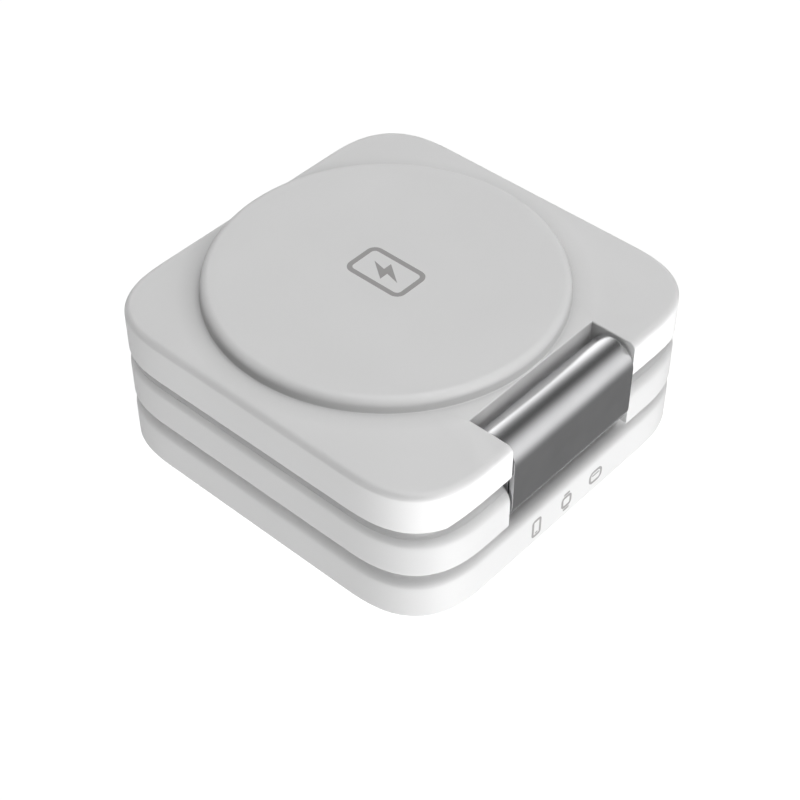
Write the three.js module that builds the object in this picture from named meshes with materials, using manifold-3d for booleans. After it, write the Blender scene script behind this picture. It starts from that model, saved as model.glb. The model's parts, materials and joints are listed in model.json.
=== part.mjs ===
// Folding three-plate wireless charger: base, middle plate and top plate in a Z-fold, joined by two
// double-pivot hinge links. Millimetres, +Z up, origin at the bottom centre of the base. X runs along the
// hinge axes; the front (-Y) link joins the middle and top plates, the rear (+Y) link the base and middle.
import * as THREE from 'three';
import { mergeVertices } from 'three/addons/utils/BufferGeometryUtils.js';
import Module from 'manifold-3d';

const wasm = await Module();
wasm.setup();

// Plates
const SIDE = 70; // width and depth of each plate
const HALF = SIDE / 2;
const CORNER_REACH = 15.6; // how far the soft corner reaches along each side
const CORNER_POWER = 2.7; // 2 is a circle, larger is squarer
const WALL = 1.4;
const LID = 1.1; // flat closing covers
const FIT = 0.3; // clearance between neighbouring pieces
const GLUE = 0.1; // adhesive layer under bonded discs and pads
const EDGE_RADIUS = 2.8; // upper edges of the base and middle plate
const HINGE_EDGE_RADIUS = 3.4; // the same edges on the hinge side
const TOP_EDGE_RADIUS = 1.2; // upper edge of the top plate
const RELIEF = 1.3; // chamfer under a plate that swings over its neighbour

const FOOT_PROUD = 0.4;
const BASE = { bottom: FOOT_PROUD, top: 9.3 };
const MIDDLE = { bottom: 9.9, top: 18.5, seam: 17.4, seamGap: 0.1 };
const TOP = { bottom: 19.3, top: 27.1 };

// Phone disc on the top plate: flat face, rounded rim, drafted wall and a small fillet at its foot
const DISC = { y: 3.7, height: 2.5, flatRadius: 28.3, rim: 1.6, fillet: 0.5, room: 27.7 };
const DISC_SLOPE = THREE.MathUtils.degToRad(84); // of the drafted wall
const DISC_TOP = TOP.top + DISC.height;

// Hinge links
const AXIS_INSET = 3.85; // pivot axes behind the plate's face
const AXIS_Y = HALF - AXIS_INSET;
const LINK_RADIUS = 4.25;
const LINK_LENGTH = 29.2;
const LINK_WALL = 1.1;
const CAP_THICKNESS = 1.0;
const CAP_RECESS = 0.2;
const LEAD = { halfWidth: 8, halfThickness: 0.2 }; // flat lead inside a link
const SLOT_WIDTH = 29.8;
const SLOT_DEPTH = 8.45;
const SHAFT_RADIUS = 1.1;
const SHAFT_LENGTH = 43;
const REAR = { side: 1, lower: 5.3, upper: 13.35 };
const FRONT = { side: -1, lower: 14.3, upper: 22.35 };
const SCALLOP_RADIUS = 4.65; // groove that lets the swinging edge pass

// Brackets that carry the shafts inside the plates
const BRACKET = { length: 4.6, front: 1.9, back: 3.0, half: 1.8 };

// Charging parts
const DISH = { radius: 22, floor: 7.4, thickness: 1.0 };
const PAD_THICKNESS = 0.7;
const EARBUD_COIL = { inner: 6, outer: 15.5, thickness: 1.0 };
const EARBUD_FERRITE = { radius: 16, thickness: 0.6 };
const PUCK = { radius: 15.5, proud: 1.0, wall: 1.0, flange: 17.9, flangeThickness: 0.8, dish: 0.35 };
const PUCK_RING = { inner: 15.8, outer: 16.9 };
const WATCH_COIL = { inner: 6.5, outer: 13.5, thickness: 1.0 };
const WATCH_MAGNET = { radius: 5.2, thickness: 2.0 };
const WATCH_FERRITE = { radius: 13.8, thickness: 0.6 };
const MAGNET_RING = { inner: 23, outer: 27.2, thickness: 1.8 };
const PHONE_COIL = { inner: 10.5, outer: 21.5, thickness: 1.1 };
const PHONE_FERRITE = { radius: 22.2, thickness: 0.7 };
const SHIELD = { radius: 27.2, thickness: 0.6, drop: 0.4 };

// Circuit boards and chips, as limits in X, Y and Z
const BASE_BOARD = { x: [17, 32.6], y: [-15, 15], z: [2.55, 3.55] };
const POWER_CHIP = { x: [18, 22.5], y: [7, 12], height: 0.9 };
const MIDDLE_BOARD = { x: [-20, 20], y: [-14, 14], z: [14.2, 15.2] };
const TOP_BOARD = { x: [-22, 22], y: [-14, 20], z: [22.4, 23.4] };
const CHARGE_CHIP = { x: [-3, 3], y: [-3, 3], height: 0.8 };

const SIDE_STEPS = 32;
const WHITE = { color: 0xf1f1f0, roughness: 0.55, metalness: 0 };
const PUCK_WHITE = { color: 0xf4f4f4, roughness: 0.2, metalness: 0 };
const METAL = { color: 0x9a9a9c, roughness: 0.3, metalness: 1 };
const STEEL = { color: 0x8d8f92, roughness: 0.4, metalness: 1 };
const COPPER = { color: 0xb87333, roughness: 0.4, metalness: 1 };
const FERRITE = { color: 0x2b2b2d, roughness: 0.8, metalness: 0 };
const BOARD = { color: 0x1f5b3a, roughness: 0.6, metalness: 0 };
const CHIP = { color: 0x1a1a1a, roughness: 0.5, metalness: 0 };
const RUBBER = { color: 0x8a8c8f, roughness: 0.9, metalness: 0 };
const FLEX = { color: 0xc07a2c, roughness: 0.5, metalness: 0 };

const part = new THREE.Group();

// Booleans -------------------------------------------------------------------------------------------

function toSolid(geometry) {
  const bare = geometry.clone();
  bare.deleteAttribute('normal');
  bare.deleteAttribute('uv');
  const merged = mergeVertices(bare);
  const index = [];
  for (let i = 0; i < merged.index.count; i += 3) {
    const [a, b, c] = [0, 1, 2].map((k) => merged.index.getX(i + k));
    if (a !== b && b !== c && c !== a) index.push(a, b, c);
  }
  return new wasm.Manifold(new wasm.Mesh({
    numProp: 3,
    vertProperties: merged.attributes.position.array,
    triVerts: new Uint32Array(index),
  }));
}

function toGeometry(solid) {
  const mesh = solid.getMesh();
  const geometry = new THREE.BufferGeometry();
  geometry.setAttribute('position', new THREE.BufferAttribute(mesh.vertProperties, 3));
  geometry.setIndex(new THREE.BufferAttribute(mesh.triVerts, 1));
  geometry.computeVertexNormals();
  return geometry;
}

function cut(geometry, ...cutters) {
  return toGeometry(cutters.reduce((solid, cutter) => solid.subtract(toSolid(cutter)), toSolid(geometry)));
}

function join(geometry, ...others) {
  return toGeometry(others.reduce((solid, other) => solid.add(toSolid(other)), toSolid(geometry)));
}

function overlap(geometry, other) {
  return toGeometry(toSolid(geometry).intersect(toSolid(other)));
}

function add(name, geometry, look) {
  const mesh = new THREE.Mesh(geometry, new THREE.MeshStandardMaterial(look));
  mesh.name = name;
  part.add(mesh);
}

// Basic shapes ---------------------------------------------------------------------------------------

// Plate outline with soft corners, moved in by inset.
function plateShape(inset = 0) {
  const reach = CORNER_REACH - inset;
  const centre = HALF - CORNER_REACH;
  const steps = 7;
  const points = [];
  for (let corner = 0; corner < 4; corner += 1) {
    for (let i = 0; i <= steps; i += 1) {
      const angle = (i / steps) * (Math.PI / 2);
      const x = centre + reach * Math.cos(angle) ** (2 / CORNER_POWER);
      const y = centre + reach * Math.sin(angle) ** (2 / CORNER_POWER);
      points.push(new THREE.Vector2(x, y).rotateAround(new THREE.Vector2(), corner * (Math.PI / 2)));
    }
  }
  return new THREE.Shape(points);
}

function slab(shape, bottom, top) {
  const geometry = new THREE.ExtrudeGeometry(shape, { depth: top - bottom, bevelEnabled: false });
  return geometry.translate(0, 0, bottom);
}

// Box from its limits: x0 to x1, y0 to y1, z0 to z1.
function block(x0, x1, y0, y1, z0, z1) {
  const geometry = new THREE.BoxGeometry(x1 - x0, y1 - y0, z1 - z0);
  return geometry.translate((x0 + x1) / 2, (y0 + y1) / 2, (z0 + z1) / 2);
}

// Circuit board or chip from its limits.
function card({ x, y, z }) {
  return block(x[0], x[1], y[0], y[1], z[0], z[1]);
}

// Chip standing on a board.
function chipOn(board, { x, y, height }) {
  const seat = board.z[1] + GLUE;
  return card({ x, y, z: [seat, seat + height] });
}

// Plate with a rounded upper edge and a square lower one.
function roundedPlate({ bottom, top }, radius) {
  const geometry = new THREE.ExtrudeGeometry(plateShape(), {
    depth: top - bottom,
    bevelThickness: radius,
    bevelSize: radius,
    bevelOffset: -radius,
    bevelSegments: 3,
  });
  geometry.translate(0, 0, bottom - radius);
  return cut(geometry, block(-SIDE, SIDE, -SIDE, SIDE, bottom - SIDE, bottom));
}

// Solid of revolution about +Z from [radius, z] points given anticlockwise.
function lathe(profile, segments = SIDE_STEPS) {
  const points = profile.map(([radius, z]) => new THREE.Vector2(radius, z));
  return new THREE.LatheGeometry(points, segments).rotateX(Math.PI / 2);
}

function disc(radius, bottom, top, segments = SIDE_STEPS) {
  return lathe([[0, bottom], [radius, bottom], [radius, top], [0, top]], segments);
}

function ring(inner, outer, bottom, top, segments = SIDE_STEPS) {
  return lathe([[inner, bottom], [outer, bottom], [outer, top], [inner, top], [inner, bottom]], segments);
}

function flatRing({ inner, outer, thickness }, bottom, segments = 40) {
  return ring(inner, outer, bottom, bottom + thickness, segments);
}

function flatDisc({ radius, thickness }, bottom, segments = SIDE_STEPS) {
  return disc(radius, bottom, bottom + thickness, segments);
}

// Shape drawn in the YZ plane, extruded along X and centred on x.
function prism(shape, length, x = 0) {
  const geometry = new THREE.ExtrudeGeometry(shape, { depth: length, bevelEnabled: false, curveSegments: 8 });
  geometry.translate(0, 0, x - length / 2);
  const basis = [new THREE.Vector3(0, 1, 0), new THREE.Vector3(0, 0, 1), new THREE.Vector3(1, 0, 0)];
  return geometry.applyMatrix4(new THREE.Matrix4().makeBasis(...basis));
}

function rod(radius, length, y, z, x = 0) {
  const geometry = new THREE.CylinderGeometry(radius, radius, length, 20).rotateZ(Math.PI / 2);
  return geometry.translate(x, y, z);
}

// Hinge geometry -------------------------------------------------------------------------------------

// Slot for a link, widened by extra on every side.
function slot(hinge, extra = 0) {
  const inner = hinge.side * (HALF - SLOT_DEPTH - extra);
  const outer = hinge.side * (HALF + 1);
  const width = SLOT_WIDTH / 2 + extra;
  return block(-width, width, Math.min(inner, outer), Math.max(inner, outer), -1, DISC_TOP);
}

// Outline in the YZ plane from anticlockwise [y, z] points drawn for the rear, mirrored for the front.
function sideShape(side, points) {
  const placed = points.map(([y, z]) => new THREE.Vector2(side * y, z));
  return new THREE.Shape(side < 0 ? placed.reverse() : placed);
}

// Removes the square edge outside a rounding of the given radius along the plate's hinge side.
function edgeRounding(side, top, radius) {
  const points = [[HALF + 1, top - radius], [HALF + 1, top + 1], [HALF - radius, top + 1]];
  const steps = 6;
  for (let i = steps; i >= 0; i -= 1) {
    const angle = (i / steps) * (Math.PI / 2);
    points.push([HALF - radius + radius * Math.cos(angle), top - radius + radius * Math.sin(angle)]);
  }
  return prism(sideShape(side, points), SIDE + 2);
}

// Chamfer under the hinge side of a plate.
function edgeRelief(side, bottom) {
  const points = [[HALF - RELIEF - 1, bottom - 1], [HALF + 1, bottom - 1], [HALF + 1, bottom + RELIEF + 1]];
  return prism(sideShape(side, points), SIDE + 2);
}

// Shallow groove around the upper pivot, in the face that the swinging edge passes over.
function scallop(hinge) {
  return rod(SCALLOP_RADIUS, SIDE + 2, hinge.side * AXIS_Y, hinge.upper);
}

function shaftHoles(hinge, height) {
  return rod(SHAFT_RADIUS + FIT, SHAFT_LENGTH + 2 * FIT, hinge.side * AXIS_Y, hinge[height]);
}

function stadium(radius, lower, upper) {
  const shape = new THREE.Shape();
  shape.absarc(0, upper, radius, 0, Math.PI);
  shape.absarc(0, lower, radius, Math.PI, 2 * Math.PI);
  shape.closePath();
  return shape;
}

function pivotHole(z) {
  const hole = new THREE.Path();
  hole.absarc(0, z, SHAFT_RADIUS + FIT, 0, 2 * Math.PI, true);
  return hole;
}

function linkShell(hinge) {
  const shape = stadium(LINK_RADIUS, hinge.lower, hinge.upper);
  shape.holes.push(new THREE.Path(stadium(LINK_RADIUS - LINK_WALL, hinge.lower, hinge.upper).getPoints(10)));
  return prism(shape, LINK_LENGTH).translate(0, hinge.side * AXIS_Y, 0);
}

function linkCap(hinge, end) {
  const shape = stadium(LINK_RADIUS - LINK_WALL - FIT, hinge.lower, hinge.upper);
  shape.holes.push(pivotHole(hinge.lower), pivotHole(hinge.upper));
  const x = end * (LINK_LENGTH / 2 - CAP_THICKNESS / 2 - CAP_RECESS);
  return prism(shape, CAP_THICKNESS, x).translate(0, hinge.side * AXIS_Y, 0);
}

// Flat lead that runs between the two shafts inside the link.
function linkFlex(hinge) {
  const margin = SHAFT_RADIUS + FIT;
  const { halfWidth, halfThickness } = LEAD;
  const y = hinge.side * AXIS_Y;
  return block(-halfWidth, halfWidth, y - halfThickness, y + halfThickness,
    hinge.lower + margin, hinge.upper - margin);
}

function addLink(name, hinge) {
  add(`${name}_link_shell`, linkShell(hinge), METAL);
  add(`${name}_link_cap_left`, linkCap(hinge, -1), METAL);
  add(`${name}_link_cap_right`, linkCap(hinge, 1), METAL);
  for (const height of ['lower', 'upper']) {
    const shaft = rod(SHAFT_RADIUS, SHAFT_LENGTH, hinge.side * AXIS_Y, hinge[height]);
    add(`${name}_${height}_shaft`, shaft, STEEL);
  }
  add(`${name}_link_flex`, linkFlex(hinge), FLEX);
}

// Friction bracket beside the slot, with the shaft's bore through it. end is -1 at the left, 1 at the right.
function bracket(hinge, height, end) {
  const { front, back, half, length } = BRACKET;
  const shape = sideShape(hinge.side, [[front, -half], [front, half], [-back, half], [-back, -half]]);
  shape.holes.push(pivotHole(0));
  const x = end * (SLOT_WIDTH / 2 + WALL + FIT + length / 2);
  return prism(shape, length, x).translate(0, hinge.side * AXIS_Y, hinge[height]);
}

function addBrackets(name, hinge, height) {
  add(`${name}_bracket_left`, bracket(hinge, height, -1), STEEL);
  add(`${name}_bracket_right`, bracket(hinge, height, 1), STEEL);
}

// Room inside a plate: the outline moved in by the wall, less the walls around each slot.
function room(bottom, top, hinges) {
  const space = slab(plateShape(WALL), bottom, top);
  return cut(space, ...hinges.map((hinge) => slot(hinge, WALL)));
}

// Flat closing plate that fits inside the walls, clear of the slots.
function lid(bottom, hinges) {
  const plate = slab(plateShape(WALL + FIT), bottom, bottom + LID);
  return cut(plate, ...hinges.map((hinge) => slot(hinge, WALL + FIT)));
}

// Base -----------------------------------------------------------------------------------------------

const FOOT = { radius: 4.5, thickness: 0.9, chamfer: 0.3, x: 24.5, y: 24.5 };
const SCREW = { head: 2.0, headHeight: 0.6, headGap: 0.05, shank: 0.9, length: 3.6 };
const BOSS_RADIUS = 2.4;
const FEET = [[1, 1], [-1, 1], [-1, -1], [1, -1]];
const PORT = { width: 8.9, height: 3.2, depth: 7.2, z: 5.3, sheet: 0.3, recess: 0.2 };
const TONGUE = { halfWidth: 3.3, halfThickness: 0.35, recess: 1.2 };
const BALLAST = { inset: WALL + 1, thickness: 1.8, bracketRoom: 5 };

function portShape(grow) {
  const radius = PORT.height / 2 + grow;
  const reach = PORT.width / 2 - PORT.height / 2;
  const shape = new THREE.Shape();
  shape.absarc(reach, PORT.z, radius, -Math.PI / 2, Math.PI / 2);
  shape.absarc(-reach, PORT.z, radius, Math.PI / 2, (3 * Math.PI) / 2);
  shape.closePath();
  return shape;
}

function baseOuter() {
  const plate = roundedPlate(BASE, EDGE_RADIUS);
  return cut(plate, edgeRounding(REAR.side, BASE.top, HINGE_EDGE_RADIUS), scallop(REAR));
}

function bossAt([sideX, sideY], bottom, top) {
  const boss = ring(SCREW.shank + FIT, BOSS_RADIUS, bottom, top, 16);
  return boss.translate(sideX * FOOT.x, sideY * FOOT.y, 0);
}

function baseHousing() {
  const dishUnderside = DISH.floor - DISH.thickness;
  const well = disc(DISH.radius + DISH.thickness, dishUnderside, BASE.top - WALL / 2);
  const bosses = FEET.map((foot) => bossAt(foot, BASE.bottom + LID + GLUE, BASE.top - WALL / 2));
  const shell = cut(baseOuter(), room(BASE.bottom - 1, BASE.top - WALL, [REAR]));
  const filled = join(shell, well, ...bosses);
  const port = prism(portShape(FIT), 4, HALF);
  const dish = disc(DISH.radius, DISH.floor, BASE.top + 1);
  return cut(filled, dish, slot(REAR), shaftHoles(REAR, 'lower'), port);
}

function baseBottomCover() {
  const footBeds = FEET.map(([sideX, sideY]) => {
    const bed = disc(FOOT.radius + FIT, 0, FOOT.thickness + GLUE, 24);
    return bed.translate(sideX * FOOT.x, sideY * FOOT.y, 0);
  });
  const holes = FEET.map(([sideX, sideY]) => {
    const hole = disc(SCREW.shank + FIT, 0, BASE.bottom + LID + 1, 16);
    return hole.translate(sideX * FOOT.x, sideY * FOOT.y, 0);
  });
  return cut(lid(BASE.bottom, [REAR]), ...footBeds, ...holes);
}

// Stuck-on foot, hollow above for the screw's head.
function footGeometry() {
  const { radius, chamfer, thickness } = FOOT;
  const ceiling = thickness - SCREW.headHeight;
  return lathe([[0, 0], [radius - chamfer, 0], [radius, chamfer], [radius, thickness],
    [SCREW.head + FIT, thickness], [SCREW.head + FIT, ceiling], [0, ceiling]], 20);
}

function screwGeometry() {
  const { head, headHeight, headGap, shank, length } = SCREW;
  const under = FOOT.thickness + GLUE - headHeight;
  return lathe([[0, under + headGap], [head, under + headGap], [head, under + headHeight],
    [shank, under + headHeight], [shank, under + length], [0, under + length]], 12);
}

function addFeet() {
  FEET.forEach(([sideX, sideY], i) => {
    const x = sideX * FOOT.x;
    const y = sideY * FOOT.y;
    add(`foot_${i + 1}`, footGeometry().translate(x, y, 0), RUBBER);
    add(`base_screw_${i + 1}`, screwGeometry().translate(x, y, 0), STEEL);
  });
}

function ballastPlate() {
  const bottom = BASE.bottom + LID + GLUE;
  const plate = slab(plateShape(BALLAST.inset), bottom, bottom + BALLAST.thickness);
  const bossHoles = FEET.map(([sideX, sideY]) => {
    const hole = disc(BOSS_RADIUS + FIT, 0, BASE.top, 16);
    return hole.translate(sideX * FOOT.x, sideY * FOOT.y, 0);
  });
  const boardSide = block(BASE_BOARD.x[0] - 2, SIDE, -SIDE, SIDE, 0, BASE.top);
  const corners = [1, -1].map((side) => {
    const x = side * (SLOT_WIDTH / 2 + WALL + BRACKET.length / 2);
    return block(x - BRACKET.length, x + BRACKET.length, AXIS_Y - BALLAST.bracketRoom, HALF, 0, BASE.top);
  });
  return cut(plate, boardSide, slot(REAR, WALL + FIT), ...corners, ...bossHoles);
}

function addUsbPort() {
  const shell = portShape(0);
  shell.holes.push(new THREE.Path(portShape(-PORT.sheet).getPoints(8)));
  const mouth = HALF - PORT.recess;
  add('usb_c_shell', prism(shell, PORT.depth, mouth - PORT.depth / 2), STEEL);
  const { halfWidth, halfThickness, recess } = TONGUE;
  const tongue = block(mouth - PORT.depth, mouth - recess, -halfWidth, halfWidth,
    PORT.z - halfThickness, PORT.z + halfThickness);
  add('usb_c_tongue', tongue, CHIP);
}

function addBaseElectronics() {
  add('main_board', card(BASE_BOARD), BOARD);
  add('power_chip', chipOn(BASE_BOARD, POWER_CHIP), CHIP);
  const coilBottom = DISH.floor - DISH.thickness - GLUE - EARBUD_COIL.thickness;
  add('earbud_coil', flatRing(EARBUD_COIL, coilBottom, SIDE_STEPS), COPPER);
  add('earbud_ferrite', flatDisc(EARBUD_FERRITE, coilBottom - GLUE - EARBUD_FERRITE.thickness), FERRITE);
}

function addBase() {
  add('base_housing', baseHousing(), WHITE);
  add('base_bottom_cover', baseBottomCover(), WHITE);
  add('earbud_pad', disc(DISH.radius - FIT, DISH.floor + GLUE, DISH.floor + GLUE + PAD_THICKNESS), RUBBER);
  add('ballast_plate', ballastPlate(), STEEL);
  addBaseElectronics();
  addUsbPort();
  addBrackets('base', REAR, 'lower');
  addFeet();
}

// Middle plate ---------------------------------------------------------------------------------------

function middleOuter() {
  const plate = roundedPlate(MIDDLE, EDGE_RADIUS);
  const rounding = edgeRounding(FRONT.side, MIDDLE.top, HINGE_EDGE_RADIUS);
  return cut(plate, rounding, scallop(FRONT), edgeRelief(REAR.side, MIDDLE.bottom), slot(FRONT), slot(REAR));
}

function middleTray() {
  const below = block(-SIDE, SIDE, -SIDE, SIDE, 0, MIDDLE.seam - MIDDLE.seamGap);
  const space = room(MIDDLE.bottom + WALL, MIDDLE.top, [FRONT, REAR]);
  const puckHole = disc(PUCK_RING.outer + 0.2, MIDDLE.bottom - 1, MIDDLE.bottom + WALL + 1);
  const holes = [shaftHoles(FRONT, 'lower'), shaftHoles(REAR, 'upper')];
  return cut(overlap(middleOuter(), below), space, puckHole, ...holes);
}

function middleTopCover() {
  return overlap(middleOuter(), block(-SIDE, SIDE, -SIDE, SIDE, MIDDLE.seam, MIDDLE.top + 1));
}

// Cup with a shallow dish in its face, hung by its flange above the tray's floor.
function watchPuck() {
  const { radius, proud, wall, flange, flangeThickness, dish } = PUCK;
  const face = MIDDLE.bottom - proud;
  const seat = MIDDLE.bottom + WALL + GLUE;
  const rounding = [[radius - 1.2, face], [radius - 0.3, face + 0.3], [radius, face + 0.8]];
  return lathe([[0, face + dish], [8, face + dish * 0.7], [12.5, face], ...rounding, [radius, seat],
    [flange, seat], [flange, seat + flangeThickness], [radius - wall, seat + flangeThickness],
    [radius - wall, face + dish + wall], [0, face + dish + wall]]);
}

function addWatchCharger() {
  const bottom = MIDDLE.bottom;
  add('watch_puck', watchPuck(), PUCK_WHITE);
  add('watch_puck_ring', ring(PUCK_RING.inner, PUCK_RING.outer, bottom, bottom + WALL, 40), METAL);
  const inside = bottom - PUCK.proud + PUCK.dish + PUCK.wall + GLUE;
  add('watch_coil', flatRing(WATCH_COIL, inside, SIDE_STEPS), COPPER);
  add('watch_magnet', flatDisc(WATCH_MAGNET, inside, 24), STEEL);
  add('watch_ferrite', flatDisc(WATCH_FERRITE, inside + WATCH_MAGNET.thickness + GLUE), FERRITE);
  add('middle_board', card(MIDDLE_BOARD), BOARD);
}

function addMiddle() {
  add('middle_tray', middleTray(), WHITE);
  add('middle_top_cover', middleTopCover(), WHITE);
  addWatchCharger();
  addBrackets('middle_rear', REAR, 'upper');
  addBrackets('middle_front', FRONT, 'lower');
}

// Top plate ------------------------------------------------------------------------------------------

// Half profile of the phone disc, up from the plate to the middle of its flat face.
function discProfile() {
  const { flatRadius, rim, fillet, height } = DISC;
  const wallTop = flatRadius + rim * Math.sin(DISC_SLOPE);
  const wallHeight = height - (rim + fillet) * (1 - Math.cos(DISC_SLOPE));
  const foot = wallTop + wallHeight / Math.tan(DISC_SLOPE) + fillet * Math.sin(DISC_SLOPE);
  const profile = [[0, TOP.top - WALL / 2], [foot, TOP.top - WALL / 2], [foot, TOP.top]];
  for (const share of [0.5, 1]) {
    const angle = share * DISC_SLOPE;
    profile.push([foot - fillet * Math.sin(angle), TOP.top + fillet * (1 - Math.cos(angle))]);
  }
  const rimSteps = 4;
  for (let i = rimSteps; i >= 0; i -= 1) {
    const angle = (i / rimSteps) * DISC_SLOPE;
    profile.push([flatRadius + rim * Math.sin(angle), DISC_TOP - rim * (1 - Math.cos(angle))]);
  }
  profile.push([0, DISC_TOP]);
  return profile;
}

function raisedDisc() {
  const raised = lathe(discProfile(), 56).translate(0, DISC.y, 0);
  return overlap(raised, slab(plateShape(TOP_EDGE_RADIUS), TOP.top - WALL, DISC_TOP + 1));
}

function topHousing() {
  const plate = roundedPlate(TOP, TOP_EDGE_RADIUS);
  const outer = cut(join(plate, raisedDisc()), edgeRelief(FRONT.side, TOP.bottom));
  const space = room(TOP.bottom - 1, TOP.top - WALL, [FRONT]);
  const discSpace = disc(DISC.room, TOP.top - WALL - 1, DISC_TOP - WALL).translate(0, DISC.y, 0);
  const clear = cut(discSpace, slot(FRONT, WALL));
  return cut(outer, space, clear, slot(FRONT), shaftHoles(FRONT, 'upper'));
}

function addPhoneCharger() {
  const under = DISC_TOP - WALL - GLUE;
  const place = (geometry) => geometry.translate(0, DISC.y, 0);
  const coilBottom = under - PHONE_COIL.thickness;
  const magnetBottom = under - MAGNET_RING.thickness;
  add('magnet_ring', place(flatRing(MAGNET_RING, magnetBottom, 48)), STEEL);
  add('phone_coil', place(flatRing(PHONE_COIL, coilBottom)), COPPER);
  add('phone_ferrite', place(flatDisc(PHONE_FERRITE, coilBottom - GLUE - PHONE_FERRITE.thickness)), FERRITE);
  add('shield_plate', place(flatDisc(SHIELD, magnetBottom - SHIELD.drop - SHIELD.thickness)), METAL);
  add('top_board', card(TOP_BOARD), BOARD);
  add('charge_chip', chipOn(TOP_BOARD, CHARGE_CHIP), CHIP);
}

function addTop() {
  add('top_housing', topHousing(), WHITE);
  add('top_bottom_cover', lid(TOP.bottom, [FRONT]), WHITE);
  addPhoneCharger();
  addBrackets('top', FRONT, 'upper');
}

addBase();
addLink('rear', REAR);
addMiddle();
addLink('front', FRONT);
addTop();

export default part;
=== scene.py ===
"""Folding three-plate wireless charger: fine skins, metals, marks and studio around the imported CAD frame.

Lengths in the shape functions are millimetres; the meshes are made in metres. Each plate skin is a closed
solid over a triangulated plan, with its upper and lower faces given as heights over that plan.
"""

import json
import math

import bpy
import numpy as np
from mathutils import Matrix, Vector, kdtree
from mathutils.geometry import delaunay_2d_cdt


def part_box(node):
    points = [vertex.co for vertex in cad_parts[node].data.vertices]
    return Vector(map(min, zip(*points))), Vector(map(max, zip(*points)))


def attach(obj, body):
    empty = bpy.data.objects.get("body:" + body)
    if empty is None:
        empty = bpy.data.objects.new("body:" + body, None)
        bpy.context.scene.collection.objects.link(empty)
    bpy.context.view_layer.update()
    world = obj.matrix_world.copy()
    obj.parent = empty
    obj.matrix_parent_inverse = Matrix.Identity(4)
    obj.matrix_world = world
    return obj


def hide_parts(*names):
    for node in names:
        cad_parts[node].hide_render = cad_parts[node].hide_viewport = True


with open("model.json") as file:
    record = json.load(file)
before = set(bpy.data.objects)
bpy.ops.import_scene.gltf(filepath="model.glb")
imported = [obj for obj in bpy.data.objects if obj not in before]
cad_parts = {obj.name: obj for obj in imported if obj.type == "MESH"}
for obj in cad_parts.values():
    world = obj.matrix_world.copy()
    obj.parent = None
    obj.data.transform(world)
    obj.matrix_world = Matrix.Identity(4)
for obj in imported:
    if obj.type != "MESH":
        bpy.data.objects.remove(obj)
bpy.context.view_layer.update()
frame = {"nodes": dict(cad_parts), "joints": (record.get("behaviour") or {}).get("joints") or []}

MM = 0.001


def span(node):
    """Lowest and highest corner of a CAD node, in millimetres."""
    low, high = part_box(node)
    return np.array(low) / MM, np.array(high) / MM


def pivot(name):
    """Y and Z of a joint's axis, in millimetres."""
    joint = next(j for j in frame["joints"] if j["name"] == name)
    return joint["pos_m"][1] / MM, joint["pos_m"][2] / MM


# Measures of the frame
HALF = span("base_housing")[1][0]
BASE_BOTTOM = span("base_bottom_cover")[0][2]
BASE_TOP = span("base_housing")[1][2]
MIDDLE_BOTTOM, TRAY_TOP = span("middle_tray")[0][2], span("middle_tray")[1][2]
MIDDLE_TOP = span("middle_top_cover")[1][2]
TOP_BOTTOM, DISC_TOP = span("top_housing")[0][2], span("top_housing")[1][2]
LINK_END = span("front_link_shell")[1][0]
REAR = {"name": "rear", "side": 1, "lower": pivot("base_pivot"), "upper": pivot("rear_middle_pivot")}
FRONT = {"name": "front", "side": -1, "lower": pivot("front_middle_pivot"), "upper": pivot("top_pivot")}
AXIS_Y = REAR["lower"][0]

# Plates
CORNER_REACH = 15.6
CORNER_POWER = 2.7
WALL = 1.4
FIT = 0.3
GLUE = 0.1
EDGE_RADIUS = 2.8
HINGE_EDGE_RADIUS = 3.4
TOP_EDGE_RADIUS = 1.2
RELIEF = 1.3
EDGE_BREAK = 0.15  # small rounding on the sharp lower edges
SLOT_BREAK = 0.2  # small rounding along the link slots
SEAM_LINE = 0.03  # what shows of the joint between tray and top cover
SLOT_HALF = LINK_END + FIT
SLOT_DEPTH = 8.45
SCALLOP_RADIUS = 4.65

# Raised phone disc: flat top, rounded rim, drafted wall and a small fillet at its foot
DISC_Y = 3.7
DISC_FLAT = 28.3
DISC_RIM = 1.6
DISC_FOOT = 0.2
DISC_HEIGHT = 2.5
DISC_SLOPE = math.radians(84)
PRINT = 0.02  # thickness of the printed marks
MARK_HEIGHT = 3.6  # of the row on the base, above the table
TOP_FACE = DISC_TOP - DISC_HEIGHT

# Links
LINK_RADIUS = HALF - AXIS_Y + 0.4
LINK_WALL = 1.1
LINK_BREAK = 0.15
PIVOT_HOLE = 1.4

# USB-C inlet
PORT_DEPTH = 4.0  # of the hole cut for it
PORT_CHAMFER = 0.35
PORT_SHEET = 0.3

# Watch puck: crowned face inside a rounded rim, on a flange
PUCK_RADIUS = 15.5
PUCK_WALL = 1.0
PUCK_FLANGE = 0.8
PUCK_RIM = 12.5
PUCK_BEVEL = 0.9
PUCK_DISH = 0.35
RING_BORE = 15.8

# Base
DISH_RADIUS = 22
DISH_FLOOR = 7.4
DISH_THICKNESS = 1.0
DISH_LIP = 0.3
BOSS_RADIUS = 2.4
SCREW_HOLE = 1.2
FOOT_RECESS = {"radius": 2.3, "depth": 0.6}
PIN_HOLE = 0.3  # small middle hole of the turned profiles that would end in a point

SHARP_ANGLE = math.radians(32)


# Meshes ---------------------------------------------------------------------------------------------

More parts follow.
